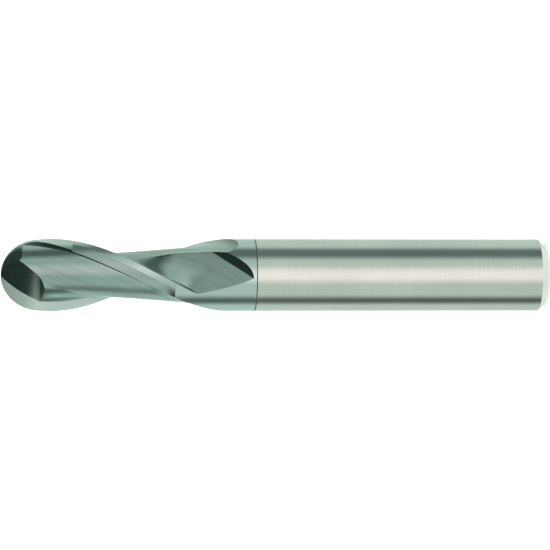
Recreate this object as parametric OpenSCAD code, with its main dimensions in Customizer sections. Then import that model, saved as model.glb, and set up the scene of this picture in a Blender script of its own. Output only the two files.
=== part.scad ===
// Two-flute ball-nose end mill: a ground carbide head brazed into a steel shank.
// The tool stands on the middle of its shank's end face, with the ball tip up the +Z axis.
// Distances called s run down from the ball's tip. Angles are in degrees.

/* [Overall] */
// Cutting diameter, which is also the shank's diameter
cut_d = 10; // [9:0.5:12]
// Length over everything, from the shank's end to the ball's tip
overall_len = 76; // [72:1:90]
// Distance from the tip back to the brazed joint
head_len = 35.1; // [35.1:0.1:38]

/* [Flutes] */
// Helix angle at the cutting diameter
helix = 28; // [25:1:32]
// Direction of a cutting edge where the ball turns into the straight helix
edge_phase = 5.6; // [0:0.1:90]
// Core diameter at the bottom of the flutes
core_d = 6.2; // [5.6:0.1:6.6]
// Distance behind the tip at which the flat floor of the run-out comes up to 1 mm from the surface
runout_mid = 30; // [29.6:0.1:30]

/* [Lands] */
// Angle that a land takes up around the tool
land_span = 27; // [24:1:32]
// Angle that the narrow primary relief takes up
primary_span = 10.5; // [8:0.5:12]
// Primary relief angle
primary_relief = 8; // [6:1:10]
// Secondary relief angle along the flutes
secondary_relief = 14.5; // [12:0.5:16]
// Secondary relief angle around the ball
ball_relief = 8.5; // [7:0.5:10]
// Length of the ball's own relief, behind the tip
ball_relief_len = 9.8; // [9:0.1:11]
// Angle behind an edge over which the ball's relief falls away
ball_relief_span = 68; // [60:1:75]
// Length of the ground relief, which is the length of cut
cut_len = 23.8; // [22:0.1:26]

/* [Ball gash] */
// Slope of the gash's root at the tip: radius gained for each millimetre behind it
gash_slope = 1.08; // [1:0.01:1.15]
// Slope that the root loses with each millimetre, which makes it an arc
gash_sag = 0.078; // [0.07:0.001:0.085]
// Lean of the gash's back wall against its rake face, at the tip
gash_lean_tip = 0.55; // [0.45:0.01:0.65]
// Lean of the wall where the gash is full
gash_lean_full = 0.9; // [0.8:0.01:1]

/* [Joint] */
// Diameter of the spigot on the back of the head
spigot_d = 6; // [5:0.5:6]
// Length of the spigot
spigot_len = 9; // [6:0.5:12]
// Thickness of the brazing alloy
braze_gap = 0.12; // [0.08:0.01:0.2]

/* [Shank end] */
// Length of the end chamfer along the axis
chamfer_len = 1.08; // [0.8:0.01:1.5]
// Depth of the end chamfer across the axis
chamfer_depth = 1.3; // [0.8:0.05:1.5]

/* [Hidden] */
$fn = 96;

TEETH = 2;
pitch = 360 / TEETH;
cut_r = cut_d / 2;
core_r = core_d / 2;
spigot_r = spigot_d / 2;
flute_span = pitch - land_span;
joint_z = overall_len - head_len;
twist_per_mm = 360 * tan(helix) / (PI * cut_d);

// The ball's edges straighten towards the tip over this length.
ball_blend = 0.6 * cut_d;
// The flute's floor is lowest at this angle in front of the cutting edge.
floor_angle = 58;
// The rake face drops from the edge to this radius over this angle.
hook_r = core_r + 0.6;
rake_width = 0.3;
// Power that makes the rake face hook into the floor from there
hook_power = 4;
// The back of the flute rises gently, with this power.
back_power = 1.15;
// The heel stands up from the back of the flute by this much, over this angle.
heel_step = 0.2;
heel_width = 1.2;
// Around the ball the heel is softer, over this angle.
ball_heel_width = 5;
// Over this length before its end, the relief loses this share of its depth.
relief_runout = 1.4;
relief_rise = 0.7;
// The flute is a plain helical channel up to here.
section_len = runout_mid - 10.2;
// The run-out's facets come in over this length.
facet_blend = 4;

// A flute runs out in three flat facets. Each has a direction in front of the cutting edge and a
// distance from the axis, both at runout_mid, and a slope up along the axis.
floor_dir = 64.1;
floor_dist = 4.014;
floor_ramp = 8.8;
wall_dir = 45.6;
wall_dist = 3.279;
wall_ramp = 20.4;
back_dir = 119.5;
back_dist = 4.24;
back_ramp = 11.3;
// The back facet turns with the helix, less this much for each millimetre.
back_turn = 2.8;
// The back facet curves up to the surface past runout_mid.
back_end_rate = 0.03;
// The facets meet the plain flute in a soft line.
facet_soft = 0.66;
// The flute is back at the full radius everywhere by here.
runout_end = runout_mid + 4.8;

// The gash leans fully from here, and lifts out of the rake face from here.
gash_lean_len = 3.4;
gash_exit = 4.5;
gash_exit_rate = 0.12;
// A cut is never closer to the axis than this, so the tip stays a closed solid.
tip_web = 0.08;

function clamp01(x) = min(1, max(0, x));
function smooth(x) = let(c = clamp01(x)) c * c * (3 - 2 * c);

// Turn of the cutting edges at s, zero where the straight helix starts
function twist(s) = s < ball_blend
    ? twist_per_mm * (s * s - ball_blend * ball_blend) / (2 * ball_blend)
    : twist_per_mm * (s - ball_blend);
function edge_angle(s) = edge_phase - twist(s);
function blank_r(s) = s < cut_r ? sqrt(max(0, s * (cut_d - s))) : cut_r;

// Share of the radius that a relief has taken off, b degrees behind an edge
function relief_drop(b, second) = PI / 180 * (min(b, primary_span) * tan(primary_relief)
    + max(0, b - primary_span) * tan(second));
// Share of the relief's depth that is left near its end
function relief_share(s) = 1 - relief_rise * pow(clamp01((s - cut_len + relief_runout) / relief_runout), 2);
function land_r(s, b) = s > cut_len || (s > ball_relief_len && b > land_span) ? blank_r(s)
    : s > ball_relief_len ? blank_r(s) * (1 - relief_share(s) * relief_drop(b, secondary_relief))
    : blank_r(s) * (1 - relief_drop(min(b, ball_relief_span), ball_relief));

// Angle over which the heel stands up at s
function heel_spread(s) = let(straight = smooth((s - cut_r) / (ball_relief_len - cut_r)))
    ball_heel_width - (ball_heel_width - heel_width) * straight;
// Radius of the plain flute at s, a degrees in front of the cutting edge
function section_r(s, a) = let(heel_r = cut_r * (1 - relief_drop(land_span, secondary_relief)),
        rake = (cut_r - hook_r) * max(0, 1 - a / rake_width),
        hook = (hook_r - core_r) * pow(clamp01(1 - a / floor_angle), hook_power),
        climb = pow(max(0, (a - floor_angle) / (flute_span - floor_angle)), back_power),
        step = heel_step * max(0, (a - flute_span) / heel_spread(s) + 1))
    core_r + rake + hook + (heel_r - heel_step - core_r) * climb + step;

// Radius of a facet at a height from the axis, off degrees away from its normal
function facet_r(height, off) = cos(off) < 0.02 ? 99 : height / cos(off);
function soft_max(a, b) = max(a, b) + pow(max(0, facet_soft - abs(a - b)), 2) / (4 * facet_soft);
function runout_r(s, a) = let(past = s - runout_mid,
        turned = a + edge_angle(s) - edge_angle(runout_mid),
        ending = back_end_rate * pow(max(0, past), 2))
    min(facet_r(back_dist + tan(back_ramp) * past + ending, a - back_dir - back_turn * past),
        max(facet_r(floor_dist + tan(floor_ramp) * past, turned - floor_dir),
            facet_r(wall_dist + tan(wall_ramp) * past, turned - wall_dir)));
function flute_r(s, a) = a <= 0 || a >= flute_span || s >= runout_end ? cut_r
    : s < section_len ? section_r(s, a)
    : let(plain = section_r(s, a), whole = soft_max(plain, runout_r(s, a)))
        min(cut_r, plain + (whole - plain) * smooth((s - section_len) / facet_blend));

// Radius of the gash's back wall at s, a degrees in front of the ball's edge
function gash_root(s) = tip_web + s * (gash_slope - gash_sag * s)
    + gash_exit_rate * pow(max(0, s - gash_exit), 3);
function gash_lean(s) = gash_lean_full
    - (gash_lean_full - gash_lean_tip) * pow(max(0, 1 - s / gash_lean_len), 2);
function gash_r(s, a) = let(open = cos(a) + gash_lean(s) * sin(a))
    a > 0 && open > 0.05 ? gash_root(s) / open : cut_r;

function head_r(s, a) = max(min(blank_r(s), tip_web),
    min(land_r(s, pitch - a), a < flute_span ? flute_r(s, a) : cut_r, gash_r(s, a)));

// Columns of one tooth, in degrees in front of its edge: close together on the rake face and the land
columns = [0, rake_width, 2, 4.5, 7.5, 10.5, 14, 18, 22.5, 28, 34, 41, 49, 58, 67, 77, 87, 97, 107, 117, 127,
    137, flute_span - ball_heel_width, flute_span - heel_width, flute_span, pitch - primary_span - 8,
    pitch - primary_span, pitch - 5];
// Rings at equal angles around the ball, then at even steps along the flutes
BALL_RINGS = 20;
STEP = 0.36;
ball_s = [for (i = [1 : BALL_RINGS]) cut_r * (1 - cos(90 * i / BALL_RINGS))];
straight_s = [for (s = [cut_r + STEP : STEP : runout_end + STEP / 2]) s];
rings = concat(ball_s, straight_s);

function ring_points(s) = [for (tooth = [0 : TEETH - 1], a = columns)
    let(r = head_r(s, a), turn = edge_angle(s) + tooth * pitch + a)
    [r * cos(turn), r * sin(turn), overall_len - s]];
// A plain ring that keeps the last flute ring's columns, so that the faces line up
function round_points(s, r) = [for (tooth = [0 : TEETH - 1], a = columns)
    let(turn = edge_angle(runout_end) + tooth * pitch + a)
    [r * cos(turn), r * sin(turn), overall_len - s]];

module cutting_head() {
    across = TEETH * len(columns);
    tail = [round_points(head_len - braze_gap / 2, cut_r),
        round_points(head_len - braze_gap / 2, spigot_r),
        round_points(head_len - braze_gap / 2 + spigot_len, spigot_r)];
    body = concat([for (s = rings) ring_points(s)], tail);
    points = concat([[0, 0, overall_len]], [for (ring = body) for (p = ring) p],
        [[0, 0, overall_len - head_len + braze_gap / 2 - spigot_len]]);
    last = len(points) - 1;
    tip_fan = [for (i = [0 : across - 1]) [0, 1 + (i + 1) % across, 1 + i]];
    back_fan = [for (i = [0 : across - 1]) [last, last - across + i, last - across + (i + 1) % across]];
    skin = [for (j = [0 : len(body) - 2], i = [0 : across - 1], half = [0, 1])
        let(here = 1 + j * across, next = here + across, i2 = (i + 1) % across)
        half == 0 ? [here + i, here + i2, next + i] : [here + i2, next + i2, next + i]];
    color([0.47, 0.55, 0.54])
        polyhedron(points = points, faces = concat(tip_fan, skin, back_fan));
}

module braze() {
    socket_r = spigot_r + braze_gap;
    color([0.16, 0.15, 0.14])
        translate([0, 0, joint_z])
            difference() {
                union() {
                    translate([0, 0, -braze_gap / 2]) cylinder(r = cut_r, h = braze_gap);
                    translate([0, 0, -spigot_len - braze_gap / 2])
                        cylinder(r = socket_r, h = spigot_len + braze_gap / 2);
                }
                translate([0, 0, braze_gap / 2 - spigot_len]) cylinder(r = spigot_r, h = spigot_len + 1);
            }
}

module shank() {
    body_len = joint_z - braze_gap / 2;
    socket_r = spigot_r + braze_gap;
    color([0.66, 0.69, 0.65])
        difference() {
            union() {
                cylinder(r1 = cut_r - chamfer_depth, r2 = cut_r, h = chamfer_len);
                translate([0, 0, chamfer_len]) cylinder(r = cut_r, h = body_len - chamfer_len);
            }
            translate([0, 0, joint_z - spigot_len - braze_gap / 2])
                cylinder(r = socket_r, h = spigot_len + 1);
        }
}

cutting_head();
braze();
shank();
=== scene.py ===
import math

import bmesh
import bpy
import numpy as np
from mathutils import Matrix, Vector


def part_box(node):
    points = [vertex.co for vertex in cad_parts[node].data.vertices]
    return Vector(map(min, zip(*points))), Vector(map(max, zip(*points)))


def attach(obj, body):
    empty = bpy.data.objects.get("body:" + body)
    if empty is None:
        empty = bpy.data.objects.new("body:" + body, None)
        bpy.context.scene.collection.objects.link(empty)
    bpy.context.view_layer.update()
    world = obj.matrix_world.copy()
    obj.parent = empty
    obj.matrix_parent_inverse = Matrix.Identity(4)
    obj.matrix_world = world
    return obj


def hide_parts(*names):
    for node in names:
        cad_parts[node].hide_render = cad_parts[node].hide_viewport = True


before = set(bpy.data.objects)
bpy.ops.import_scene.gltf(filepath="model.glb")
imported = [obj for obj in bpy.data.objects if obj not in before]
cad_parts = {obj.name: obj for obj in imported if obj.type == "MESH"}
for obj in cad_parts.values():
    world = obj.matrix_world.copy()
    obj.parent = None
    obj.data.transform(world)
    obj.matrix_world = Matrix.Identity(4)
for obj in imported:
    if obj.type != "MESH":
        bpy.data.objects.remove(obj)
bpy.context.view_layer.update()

# The tool stands on its shank's end, with the ball's tip up the +Z axis.
# The shapes below are worked out in millimetres, and distances called s run down from the tip.
MM = 0.001
CUT_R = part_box("shank")[1].x / MM
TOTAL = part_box("cutting_head")[1].z / MM
JOINT_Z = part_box("shank")[1].z / MM
HEAD_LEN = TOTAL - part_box("braze")[1].z / MM
CUT_D = 2 * CUT_R

# --- the tool's ground surfaces, as the CAD model has them ---------------------------------------

TEETH = 2
PITCH = 360 / TEETH
HELIX = 28.0
EDGE_PHASE = 5.6
CORE_R = 3.1
LAND_SPAN = 27.0
PRIMARY_SPAN = 10.5
PRIMARY_RELIEF, SECONDARY_RELIEF, BALL_RELIEF = 8.0, 14.5, 8.5
BALL_RELIEF_LEN = 9.8
BALL_RELIEF_SPAN = 68.0
CUT_LEN = 23.8
GASH_SLOPE, GASH_SAG = 1.08, 0.078
GASH_EXIT, GASH_EXIT_RATE = 4.5, 0.12
GASH_LEAN_TIP, GASH_LEAN_FULL, GASH_LEAN_LEN = 0.55, 0.9, 3.4
TIP_WEB = 0.08
FLUTE_SPAN = PITCH - LAND_SPAN
TWIST = 360 * math.tan(math.radians(HELIX)) / (math.pi * CUT_D)
BALL_BLEND = 0.6 * CUT_D
FLOOR_ANGLE = 58.0
# The flute's section: a rake face down to HOOK_R, a hook into the floor and a back that rises gently
RAKE_WIDTH, HOOK_R, HOOK_POWER, BACK_POWER = 0.3, 3.7, 4, 1.15
# The heel stands up from the back of the flute, over a wider angle around the ball.
HEEL_STEP, HEEL_WIDTH, BALL_HEEL_WIDTH = 0.2, 1.2, 5.0
# Over this length before its end, the relief loses this share of its depth.
RELIEF_RUNOUT, RELIEF_RISE = 1.4, 0.7
# The flute is plain up to SECTION_LEN, and the run-out's facets come in over FACET_BLEND.
SECTION_LEN, FACET_BLEND = 19.8, 4.0
# Where a flute runs out, three flat facets bound it: direction from the edge, distance from the
# axis and slope along it, all at RUNOUT_MID. The back facet turns with the helix, less BACK_TURN,
# and curves up to the surface past BACK_END.
RUNOUT_MID, FACET_SOFT = 30.0, 0.66
FLOOR_DIR, FLOOR_DIST, FLOOR_RAMP = 64.1, 4.014, 8.8
WALL_DIR, WALL_DIST, WALL_RAMP = 45.6, 3.279, 20.4
BACK_DIR, BACK_DIST, BACK_RAMP, BACK_TURN = 119.5, 4.24, 11.3, 2.8
BACK_END, BACK_END_RATE = 30.0, 0.03
RUNOUT_END = 34.9


def tan_deg(a):
    return math.tan(math.radians(a))


def smooth(x):
    c = np.clip(x, 0, 1)
    return c * c * (3 - 2 * c)


def edge_angle(s):
    """Direction of the first tooth's cutting edge, in degrees."""
    ball = (s * s - BALL_BLEND**2) / (2 * BALL_BLEND)
    return EDGE_PHASE - TWIST * np.where(s < BALL_BLEND, ball, s - BALL_BLEND)


def blank_r(s):
    s = np.maximum(s, 0)
    return np.where(s < CUT_R, np.sqrt(np.maximum(0, s * (CUT_D - s))), CUT_R)


def relief_drop(b, second):
    """Share of the radius that the relief has taken off, b degrees behind an edge."""
    b = np.maximum(b, 0)
    first = np.minimum(b, PRIMARY_SPAN) * tan_deg(PRIMARY_RELIEF)
    return np.radians(first + np.maximum(0, b - PRIMARY_SPAN) * tan_deg(second))


def land_r(s, b):
    """Radius of the relieved blank. Past the heel the flute takes over, so it stays level there."""
    rise = RELIEF_RISE * np.clip((s - CUT_LEN + RELIEF_RUNOUT) / RELIEF_RUNOUT, 0, 1) ** 2
    ball = relief_drop(np.minimum(b, BALL_RELIEF_SPAN), BALL_RELIEF)
    side = relief_drop(np.minimum(b, LAND_SPAN + 0.5), SECONDARY_RELIEF)
    drop = np.where(s < BALL_RELIEF_LEN, ball, side)
    return blank_r(s) * (1 - np.where(s < CUT_LEN, drop * (1 - rise), 0))


def section_r(s, a):
    """Radius of the plain flute: a rake face, a hook into the floor, a gentle back and a steep heel."""
    rake = (CUT_R - HOOK_R) * np.maximum(0, 1 - a / RAKE_WIDTH)
    hook = (HOOK_R - CORE_R) * np.clip(1 - a / FLOOR_ANGLE, 0, 1) ** HOOK_POWER
    heel_r = CUT_R * (1 - relief_drop(LAND_SPAN, SECONDARY_RELIEF))
    climb = np.clip((a - FLOOR_ANGLE) / (FLUTE_SPAN - FLOOR_ANGLE), 0, None) ** BACK_POWER
    straight = smooth((s - CUT_R) / (BALL_RELIEF_LEN - CUT_R))
    heel_width = BALL_HEEL_WIDTH - (BALL_HEEL_WIDTH - HEEL_WIDTH) * straight
    step = HEEL_STEP * np.maximum(0, (a - FLUTE_SPAN) / heel_width + 1)
    return CORE_R + rake + hook + (heel_r - HEEL_STEP - CORE_R) * climb + step


def facet_r(height, off):
    """Radius of a flat facet, off degrees away from its normal."""
    reach = np.cos(np.radians(off))
    return np.where(reach > 0.02, height / np.maximum(reach, 0.02), 99)


def soft_max(a, b):
    near = np.maximum(0, FACET_SOFT - np.abs(a - b))
    return np.maximum(a, b) + near * near / (4 * FACET_SOFT)


def flute_r(s, a):
    """Radius of a flute's surface with its run-out, where a facet ends the plain flute."""
    if s < SECTION_LEN:
        return section_r(s, a)
    past = s - RUNOUT_MID
    turned = a + edge_angle(s) - edge_angle(RUNOUT_MID)
    floor = facet_r(FLOOR_DIST + tan_deg(FLOOR_RAMP) * past, turned - FLOOR_DIR)
    wall = facet_r(WALL_DIST + tan_deg(WALL_RAMP) * past, turned - WALL_DIR)
    ending = BACK_END_RATE * max(0, s - BACK_END) ** 2
    back = facet_r(BACK_DIST + tan_deg(BACK_RAMP) * past + ending, a - BACK_DIR - BACK_TURN * past)
    plain = section_r(s, a)
    whole = soft_max(plain, np.minimum(np.maximum(floor, wall), back))
    return plain + (whole - plain) * smooth((s - SECTION_LEN) / FACET_BLEND)


# --- mesh helpers --------------------------------------------------------------------------------

def new_object(name, verts, faces, smooth_shading=True):
    mesh = bpy.data.meshes.new(name)
    mesh.from_pydata([tuple(v) for v in verts], [], faces)
    mesh.validate()
    mesh.update()
    if smooth_shading:
        mesh.polygons.foreach_set("use_smooth", [True] * len(mesh.polygons))
    piece = bpy.data.objects.new(name, mesh)
    bpy.context.scene.collection.objects.link(piece)
    return piece


def loft(name, rings, first_point=None, last_point=None):
    """A closed solid through rings of points, each an array of the same length."""
    rings = [np.asarray(r, float) * MM for r in rings]
    n = len(rings[0])
    verts = np.concatenate(rings)
    j, i = np.meshgrid(np.arange(len(rings) - 1), np.arange(n), indexing="ij")
    a = j * n + i
    b = j * n + (i + 1) % n
    faces = np.stack([a, b, b + n, a + n], -1).reshape(-1, 4).tolist()
    count = len(verts)
    ends = []
    for point, ring, turn in ((first_point, 0, -1), (last_point, len(rings) - 1, 1)):
        loop = [ring * n + k for k in range(n)]
        if point is None:
            faces.append(loop[::turn])
            continue
        ends.append(np.asarray(point, float) * MM)
        tip = count + len(ends) - 1
        for k in range(n):
            pair = [loop[k], loop[(k + 1) % n]]
            faces.append([tip] + pair[::turn])
    if ends:
        verts = np.concatenate([verts, np.array(ends)])
    piece = new_object(name, verts, faces)
    outward(piece)
    return piece


def outward(piece):
    """Turns every face outwards."""
    bm = bmesh.new()
    bm.from_mesh(piece.data)
    bmesh.ops.recalc_face_normals(bm, faces=bm.faces)
    bm.to_mesh(piece.data)
    bm.free()


def polar(radii, degrees, s):
    turn = np.radians(degrees)
    height = np.full_like(radii, TOTAL - s)
    return np.stack([radii * np.cos(turn), radii * np.sin(turn), height], -1)


def cut(piece, tool):
    """Takes one solid out of another and drops the tool."""
    mod = piece.modifiers.new("cut", "BOOLEAN")
    mod.operation = "DIFFERENCE"
    mod.solver = "MANIFOLD"
    mod.object = tool
    made = piece.evaluated_get(bpy.context.evaluated_depsgraph_get())
    mesh = bpy.data.meshes.new_from_object(made)
    piece.modifiers.clear()
    old = piece.data
    piece.data = mesh
    bpy.data.meshes.remove(old)
    bpy.data.objects.remove(tool)


def spaced(start, end, step):
    return np.linspace(start, end, max(2, int(round(abs(end - start) / step)) + 1))


def joined(*parts):
    return np.unique(np.round(np.concatenate(parts), 6))


# --- the cutting head ----------------------------------------------------------------------------

OUTSIDE = 1.6
# The relieved blank steps back to the next land this far in front of an edge, inside the flute.
STEP_AHEAD = 5.0
RING_STEP = 0.25
# A flute's tool reaches this far behind the heel, through the land's surface.
HEEL_REACH = 16


def relieved_blank():
    ahead = joined(spaced(STEP_AHEAD, FLUTE_SPAN - 1, 1.6),
                   spaced(FLUTE_SPAN - 1, FLUTE_SPAN + 1, 0.5),
                   spaced(FLUTE_SPAN + 1, PITCH - PRIMARY_SPAN, 0.9),
                   spaced(PITCH - PRIMARY_SPAN, PITCH, 0.75),
                   [PITCH + STEP_AHEAD / 2, PITCH + STEP_AHEAD])
    ball = CUT_R * (1 - np.cos(np.radians(spaced(0, 90, 1.5)[1:])))
    # Two rings close together make each sharp step in the relief.
    straight = joined(spaced(CUT_R, BALL_RELIEF_LEN - 0.01, RING_STEP),
                      spaced(BALL_RELIEF_LEN + 0.01, CUT_LEN - 0.01, RING_STEP),
                      spaced(CUT_LEN + 0.01, HEAD_LEN, RING_STEP))
    rings = []
    for s in joined(ball, straight):
        ring = [polar(land_r(s, PITCH - ahead), edge_angle(s) + tooth * PITCH + ahead, s)
                for tooth in range(TEETH)]
        rings.append(np.concatenate(ring))
    return loft("cutting_head_ground", rings, first_point=(0, 0, TOTAL))


def flute_tool(tooth):
    hook = RAKE_WIDTH + (FLOOR_ANGLE - RAKE_WIDTH) * spaced(0, 1, 0.018) ** 2
    ahead = joined([-2, -1, 0, RAKE_WIDTH / 3, RAKE_WIDTH / 1.5], hook,
                   spaced(FLOOR_ANGLE, FLUTE_SPAN - BALL_HEEL_WIDTH, 1.2),
                   spaced(FLUTE_SPAN - BALL_HEEL_WIDTH, FLUTE_SPAN + HEEL_REACH, 0.6))
    back = spaced(0, 1, 0.05)
    rings = []
    for s in joined(spaced(-0.6, CUT_LEN, 0.3), spaced(CUT_LEN, RUNOUT_END, 0.1)):
        inner_r = np.minimum(flute_r(s, ahead), CUT_R + OUTSIDE)
        outer_a = ahead[-1] + 0.4 + back * (ahead[0] - ahead[-1] - 0.8)
        outer_r = CUT_R + OUTSIDE + 0.2 + 1.5 * np.sin(math.pi * back)
        turns = edge_angle(s) + tooth * PITCH + np.concatenate([ahead, outer_a])
        rings.append(polar(np.concatenate([inner_r, outer_r]), turns, s))
    return loft("flute_tool", rings)


def gash_root(s):
    return TIP_WEB + s * (GASH_SLOPE - GASH_SAG * s) + GASH_EXIT_RATE * max(0, s - GASH_EXIT)**3


def gash_lean(s):
    return GASH_LEAN_FULL - (GASH_LEAN_FULL - GASH_LEAN_TIP) * max(0, 1 - s / GASH_LEAN_LEN)**2


def gash_section(s, root=0.16, reach=9.0, outside=12.0, steps=8):
    """The gash across the tool: a rake face along the edge, a rounded root and a leaning back wall."""
    start = gash_root(max(s, 0))
    lean = gash_lean(max(s, 0))
    wall = math.atan2(1, -lean)
    half = wall / 2
    middle = (start + root / math.tan(half), root)
    points = [(outside, 0.0)]
    for k in range(steps + 1):
        turn = -math.pi / 2 - (math.pi - wall) * k / steps
        points.append((middle[0] + root * math.cos(turn), middle[1] + root * math.sin(turn)))
    return np.array(points + [(start - lean * reach, reach), (outside, reach)])


def gash_tool(tooth):
    rings = []
    for s in spaced(-0.3, 7.2, 0.08):
        along, ahead = gash_section(s).T
        turn = math.radians(float(edge_angle(np.array(s))) + tooth * PITCH)
        x = along * math.cos(turn) - ahead * math.sin(turn)
        y = along * math.sin(turn) + ahead * math.cos(turn)
        rings.append(np.stack([x, y, np.full_like(x, TOTAL - s)], -1))
    return loft("gash_tool", rings)


def dress(piece, materials, index=0):
    """Gives a piece its materials, with every face on one of them."""
    for material in materials:
        piece.data.materials.append(material)
    piece.data.polygons.foreach_set("material_index", [index] * len(piece.data.polygons))
    return piece


def cutting_head():
    """The blank with its lands, then the flutes and the gashes ground into it."""
    # Copies of one carbide: the lands are painted lighter, and the flutes and gashes are painted darker as
    # painted shade.
    finishes_and_shading = [ground_carbide("carbide_body", BODY_FINISH), ground_carbide("carbide_land", LAND_FINISH_AND_LIGHT),
                ground_carbide("carbide_flute", FLUTE_FINISH_AND_SHADE), ground_carbide("carbide_gash", GASH_FINISH_AND_SHADE)]
    head = dress(relieved_blank(), finishes_and_shading)
    for face in head.data.polygons:
        if face.center.z > (TOTAL - CUT_LEN) * MM:
            face.material_index = 1
    for tooth in range(TEETH):
        cut(head, dress(flute_tool(tooth), finishes_and_shading, 2))
    for tooth in range(TEETH):
        cut(head, dress(gash_tool(tooth), finishes_and_shading, 3))
    head.data.polygons.foreach_set("use_smooth", [True] * len(head.data.polygons))
    head.data.set_sharp_from_angle(angle=math.radians(20))
    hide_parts("cutting_head")
    return head


# --- the shank and the brazed joint --------------------------------------------------------------

def lathe(name, profile, segments=256):
    """A solid of revolution about Z through (radius, height) points, with both ends closed."""
    turns = np.linspace(0, 360, segments, endpoint=False)
    rings = []
    for r, z in profile:
        rings.append(polar(np.full_like(turns, r), turns, TOTAL - z))
    piece = loft(name, rings)
    piece.data.set_sharp_from_angle(angle=math.radians(35))
    return piece


def arc(centre, radius, start, end, steps=6):
    """Points of a rounded corner, from start to end degrees."""
    return [(centre[0] + radius * math.cos(math.radians(a)), centre[1] + radius * math.sin(math.radians(a)))
            for a in np.linspace(start, end, steps)]


def shank():
    chamfer_len, chamfer_depth = 1.08, 1.3
    foot_r = CUT_R - chamfer_depth
    slope = math.degrees(math.atan2(chamfer_len, chamfer_depth))
    soft = 0.12
    profile = [(foot_r - 0.3, 0.0), (foot_r - 0.1, 0.0), (foot_r + 0.04, 0.06)]
    profile += [(foot_r + chamfer_depth * t, chamfer_len * t) for t in (0.15, 0.35, 0.55, 0.75, 0.85)]
    low = soft * math.tan(math.radians((90 - slope) / 2))
    profile += arc((CUT_R - soft, chamfer_len + low), soft, slope - 90, 0)
    profile += [(CUT_R, z) for z in np.linspace(chamfer_len + low + 0.5, JOINT_Z - 0.03, 60)]
    profile += [(CUT_R - 0.02, JOINT_Z - 0.008), (CUT_R - 0.05, JOINT_Z)]
    piece = lathe("shank_ground", profile)
    dress(piece, [ground_steel()])
    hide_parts("shank")
    return piece


def braze():
    low, high = JOINT_Z, TOTAL - HEAD_LEN
    inset = 0.02
    profile = [(CUT_R - 0.8, low), (CUT_R - inset, low), (CUT_R - inset - 0.015, (low + high) / 2),
               (CUT_R - inset, high), (CUT_R - 0.8, high)]
    piece = lathe("braze_seam", profile)
    dress(piece, [braze_alloy()])
    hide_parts("braze")
    return piece


# --- materials -----------------------------------------------------------------------------------

class Nodes:
    """Short ways to add nodes to one tree."""

    def __init__(self, tree):
        self.tree = tree

    def add(self, kind, **settings):
        node = self.tree.nodes.new(kind)
        for key, value in settings.items():
            setattr(node, key, value)
        return node

    def link(self, source, target):
        self.tree.links.new(source, target)

    def math(self, operation, a, b=0.0):
        node = self.add("ShaderNodeMath", operation=operation)
        for socket, value in zip(node.inputs, (a, b)):
            if isinstance(value, (int, float)):
                socket.default_value = value
            else:
                self.link(value, socket)
        return node.outputs[0]

    def noise(self, vector, scale, detail=3.0, rough=0.5):
        node = self.add("ShaderNodeTexNoise")
        self.link(vector, node.inputs["Vector"])
        node.inputs["Scale"].default_value = scale
        node.inputs["Detail"].default_value = detail
        node.inputs["Roughness"].default_value = rough
        return node.outputs["Fac"]

    def ramp(self, value, stops):
        node = self.add("ShaderNodeValToRGB")
        fill_ramp(node.color_ramp, stops)
        self.link(value, node.inputs["Fac"])
        return node.outputs["Color"]

    def remap(self, value, low, high, to_low, to_high):
        node = self.add("ShaderNodeMapRange")
        self.link(value, node.inputs["Value"])
        for key, number in (("From Min", low), ("From Max", high), ("To Min", to_low), ("To Max", to_high)):
            node.inputs[key].default_value = number
        return node.outputs["Result"]

    def mix(self, factor, a, b):
        node = self.add("ShaderNodeMix", data_type="RGBA")
        if isinstance(factor, (int, float)):
            node.inputs["Factor"].default_value = factor
        else:
            self.link(factor, node.inputs["Factor"])
        for socket, value in ((node.inputs["A"], a), (node.inputs["B"], b)):
            if isinstance(value, (list, tuple)):
                socket.default_value = (*value[:3], 1)
            else:
                self.link(value, socket)
        return node.outputs["Result"]

    def stretched(self, scale, twist=0.0):
        """Object coordinates, untwisted along the helix and scaled by a vector."""
        source = self.add("ShaderNodeTexCoord").outputs["Object"]
        if twist:
            split = self.add("ShaderNodeSeparateXYZ")
            self.link(source, split.inputs[0])
            turn = self.add("ShaderNodeVectorRotate", rotation_type="Z_AXIS")
            self.link(source, turn.inputs["Vector"])
            self.link(self.math("MULTIPLY", split.outputs["Z"], -twist), turn.inputs["Angle"])
            source = turn.outputs["Vector"]
        mapping = self.add("ShaderNodeMapping")
        mapping.inputs["Scale"].default_value = scale
        self.link(source, mapping.inputs["Vector"])
        return mapping.outputs["Vector"]

    def worn(self, colour, edge, patches):
        """Colour with brighter, patchy metal along the sharp edges."""
        rounded = self.add("ShaderNodeBevel", samples=4)
        rounded.inputs["Radius"].default_value = WEAR_WIDTH
        along = self.add("ShaderNodeVectorMath", operation="DOT_PRODUCT")
        self.link(rounded.outputs["Normal"], along.inputs[0])
        self.link(self.add("ShaderNodeNewGeometry").outputs["Normal"], along.inputs[1])
        sharp = self.remap(along.outputs["Value"], 1 - WEAR_EDGE[0], 1 - WEAR_EDGE[1], 0, 1)
        patchy = self.remap(patches, 0.35, 0.65, 0.2, WEAR_SHARE)
        return self.mix(self.math("MULTIPLY", sharp, patchy), colour, edge)

    def bump(self, height, strength, distance, under=None):
        node = self.add("ShaderNodeBump")
        node.inputs["Strength"].default_value = strength
        node.inputs["Distance"].default_value = distance
        self.link(height, node.inputs["Height"])
        if under is not None:
            self.link(under, node.inputs["Normal"])
        return node.outputs["Normal"]


class Surface(Nodes):
    """A new material, with its shader at hand."""

    def __init__(self, name):
        self.material = bpy.data.materials.new(name)
        self.material.use_nodes = True
        super().__init__(self.material.node_tree)
        self.bsdf = self.tree.nodes["Principled BSDF"]


def fill_ramp(ramp, stops):
    while len(ramp.elements) > 1:
        ramp.elements.remove(ramp.elements[-1])
    ramp.elements[0].position = stops[0][0]
    ramp.elements[0].color = (*stops[0][1], 1)
    for position, colour in stops[1:]:
        ramp.elements.new(position).color = (*colour, 1)


STEEL = (0.67, 0.665, 0.635)
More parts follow.
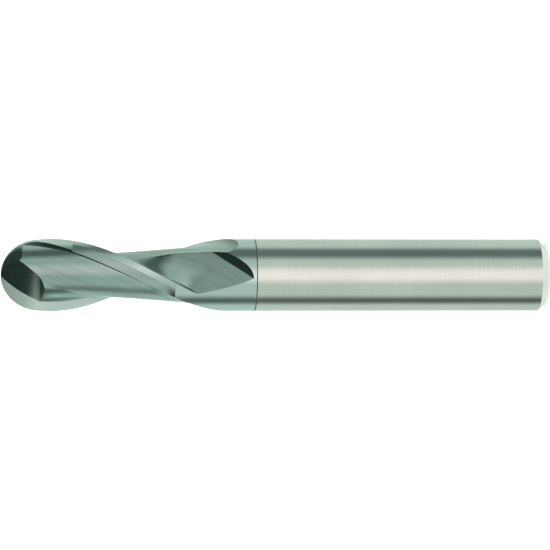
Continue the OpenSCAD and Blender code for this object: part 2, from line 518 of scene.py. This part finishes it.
# Each carbide finish: colour, roughness range, share of the grinding lines in the colour and in the relief.
# Their colours are painted light and shade on one carbide: painted shade darkens the flutes and the gash, and
# the lands are painted lighter.
BODY_FINISH = ((0.555, 0.62, 0.625), (0.1, 0.16), 0.15, 0.06)
LAND_FINISH_AND_LIGHT = ((0.605, 0.69, 0.68), (0.22, 0.3), 0.2, 0.1)
FLUTE_FINISH_AND_SHADE = ((0.405, 0.495, 0.48), (0.1, 0.2), 0.5, 0.3)
GASH_FINISH_AND_SHADE = ((0.46, 0.5, 0.48), (0.2, 0.28), 0.2, 0.1)


# Where wear shows: its width, the range of edge sharpness, and its greatest share of the colour.
WEAR_WIDTH = 0.00006
WEAR_EDGE = (0.02, 0.12)
WEAR_SHARE = 0.6
WORN_CARBIDE = (0.78, 0.82, 0.81)
WORN_STEEL = (0.84, 0.84, 0.82)


def shaded(colour, share):
    return [min(1, c * share) for c in colour]


def ground_steel():
    n = Surface("ground_steel")
    n.bsdf.inputs["Metallic"].default_value = 1.0
    lines = n.noise(n.stretched((0.15, 0.15, 9.0)), 900, 4.0, 0.6)
    cloud = n.noise(n.stretched((1, 1, 0.4)), 220, 3.0)
    tone = n.mix(n.remap(cloud, 0.35, 0.65, 0, 1), shaded(STEEL, 0.95), shaded(STEEL, 1.04))
    tone = n.mix(n.remap(lines, 0.4, 0.7, 0, 0.35), tone, shaded(STEEL, 0.86))
    n.link(n.worn(tone, WORN_STEEL, cloud), n.bsdf.inputs["Base Color"])
    n.link(n.remap(lines, 0.3, 0.7, 0.1, 0.16), n.bsdf.inputs["Roughness"])
    n.link(n.bump(lines, 0.12, 0.00002), n.bsdf.inputs["Normal"])
    return n.material


def ground_carbide(name, finish_and_shading):
    """Carbide with the grinding wheel's lines along the helix."""
    # The finish's colour carries the painted light and shade of its faces.
    colour, rough, tint, relief = finish_and_shading
    n = Surface(name)
    n.bsdf.inputs["Metallic"].default_value = 1.0
    per_metre = math.radians(TWIST) / MM
    streaks = n.noise(n.stretched((1.0, 1.0, 0.03), per_metre), 1500, 4.0, 0.6)
    broad = n.noise(n.stretched((1.0, 1.0, 0.05), per_metre), 420, 2.0)
    tone = n.mix(n.remap(broad, 0.35, 0.65, 0, 1), shaded(colour, 1 - tint / 4), shaded(colour, 1 + tint / 4))
    tone = n.mix(n.remap(streaks, 0.4, 0.75, 0, tint), tone, shaded(colour, 0.75))
    n.link(n.worn(tone, WORN_CARBIDE, broad), n.bsdf.inputs["Base Color"])
    n.link(n.remap(streaks, 0.3, 0.7, *rough), n.bsdf.inputs["Roughness"])
    n.link(n.bump(streaks, relief, 0.00003, n.bump(broad, relief, 0.00006)), n.bsdf.inputs["Normal"])
    return n.material


def braze_alloy():
    n = Surface("braze_alloy")
    n.bsdf.inputs["Metallic"].default_value = 0.6
    stain = n.noise(n.stretched((1, 1, 1)), 700, 3.0)
    tone = n.mix(n.remap(stain, 0.35, 0.65, 0, 1), (0.05, 0.055, 0.05), (0.13, 0.135, 0.125))
    n.link(tone, n.bsdf.inputs["Base Color"])
    n.link(n.remap(stain, 0.3, 0.7, 0.5, 0.75), n.bsdf.inputs["Roughness"])
    n.link(n.bump(stain, 0.4, 0.00004), n.bsdf.inputs["Normal"])
    return n.material


# --- studio --------------------------------------------------------------------------------------

# A plain light tent: pale cloth all round, with a few large soft cards. Angles are in degrees.
# Azimuth runs to the right of the camera for someone who looks from the tool with the tip up, and
# elevation runs from the shank's side to the tip's. CARD_EDGE is how softly a card fades out.
CLOTH = (0.65, 0.8, 0.7)
CARD_EDGE = 20
# Each card: azimuth of its middle, half its width, lowest and highest elevation, colour
FRONT_CARD = (0, 10, -30, 0, (1.2, 1.2, 1.15))
RIGHT_STRIP = (75, 10, -30, 90, (0.16, 0.22, 0.2))
LEFT_STRIP = (-90, 5, -30, -5, (0.12, 0.16, 0.14))
LOW_CARD = (0, 180, -90, -40, (1.1, 1.15, 1.1))
DARK_TOP = (0, 180, 25, 90, (0.03, 0.05, 0.04))
CARDS = (FRONT_CARD, RIGHT_STRIP, LEFT_STRIP, LOW_CARD, DARK_TOP)


def card_share(n, azimuth, elevation, card):
    """How much of a direction a card covers, with soft edges."""
    middle, half_width, low, high, _ = card
    aside = n.math("ABSOLUTE", n.math("SUBTRACT", azimuth, middle))
    across = n.remap(aside, half_width, half_width + CARD_EDGE, 1, 0)
    above = n.remap(elevation, low - CARD_EDGE, low, 0, 1)
    below = n.remap(elevation, high, high + CARD_EDGE, 1, 0)
    return n.math("MULTIPLY", across, n.math("MULTIPLY", above, below))


def studio_world():
    world = bpy.data.worlds.new("studio")
    bpy.context.scene.world = world
    world.use_nodes = True
    n = Nodes(world.node_tree)
    split = n.add("ShaderNodeSeparateXYZ")
    n.link(n.add("ShaderNodeTexCoord").outputs["Generated"], split.inputs[0])
    east, depth, height = split.outputs
    turn = n.math("ARCTAN2", east, n.math("MULTIPLY", depth, -1.0))
    azimuth = n.math("MULTIPLY", turn, math.degrees(1))
    elevation = n.math("MULTIPLY", n.math("ARCSINE", height), math.degrees(1))
    colour = CLOTH
    for card in CARDS:
        colour = n.mix(card_share(n, azimuth, elevation, card), colour, card[-1])
    n.link(colour, n.tree.nodes["Background"].inputs["Color"])


# A little light through the paper keeps the shadow around the shank's end faint.
FLOOR_GLOW = 0.6


def studio_floor():
    half = 8.0
    floor = new_object("floor", [(-half, -half, 0), (half, -half, 0), (half, half, 0), (-half, half, 0)],
                       [(0, 1, 2, 3)], smooth_shading=False)
    n = Surface("floor_paper")
    grain = n.noise(n.stretched((1, 1, 1)), 60, 2.0)
    n.link(n.mix(grain, (0.86, 0.86, 0.855), (0.9, 0.9, 0.895)), n.bsdf.inputs["Base Color"])
    n.bsdf.inputs["Roughness"].default_value = 0.9
    n.bsdf.inputs["Specular IOR Level"].default_value = 0.1
    n.bsdf.inputs["Emission Color"].default_value = (1, 1, 1, 1)
    n.bsdf.inputs["Emission Strength"].default_value = FLOOR_GLOW
    floor.data.materials.append(n.material)
    floor.visible_glossy = False


def studio_light():
    data = bpy.data.lights.new("overhead", "SUN")
    data.energy = 3.2
    data.angle = math.radians(70)
    light = bpy.data.objects.new("overhead", data)
    light.location = (0, 0, 1)
    light.visible_glossy = False
    bpy.context.scene.collection.objects.link(light)


# The camera looks square across the tool, a little from the tip's side, with the tip to the left.
CAMERA_TILT = 5.84
CAMERA_DISTANCE = 0.496
FRAME_WIDTH_AT_TOOL = 7.64 * CUT_D * MM


def camera():
    tilt = math.radians(CAMERA_TILT)
    look = Vector((0, math.cos(tilt), -math.sin(tilt)))
    right = Vector((0, -math.sin(tilt), -math.cos(tilt)))
    up = Vector((1, 0, 0))
    aim = Vector((0, 0, (TOTAL - 3.803 * CUT_D) * MM))
    data = bpy.data.cameras.new("camera")
    data.sensor_width = 36
    data.lens = 36 * CAMERA_DISTANCE / FRAME_WIDTH_AT_TOOL
    data.clip_end = 50
    eye = bpy.data.objects.new("camera", data)
    turn = Matrix((right, up, -look)).transposed().to_4x4()
    eye.matrix_world = Matrix.Translation(aim - look * CAMERA_DISTANCE) @ turn
    bpy.context.scene.collection.objects.link(eye)
    bpy.context.scene.camera = eye


# --- build ---------------------------------------------------------------------------------------

for piece in (cutting_head(), shank(), braze()):
    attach(piece, "root")

camera()
studio_world()
studio_floor()
studio_light()
bpy.context.scene.view_settings.view_transform = "Standard"
bpy.context.scene.view_settings.look = "None"
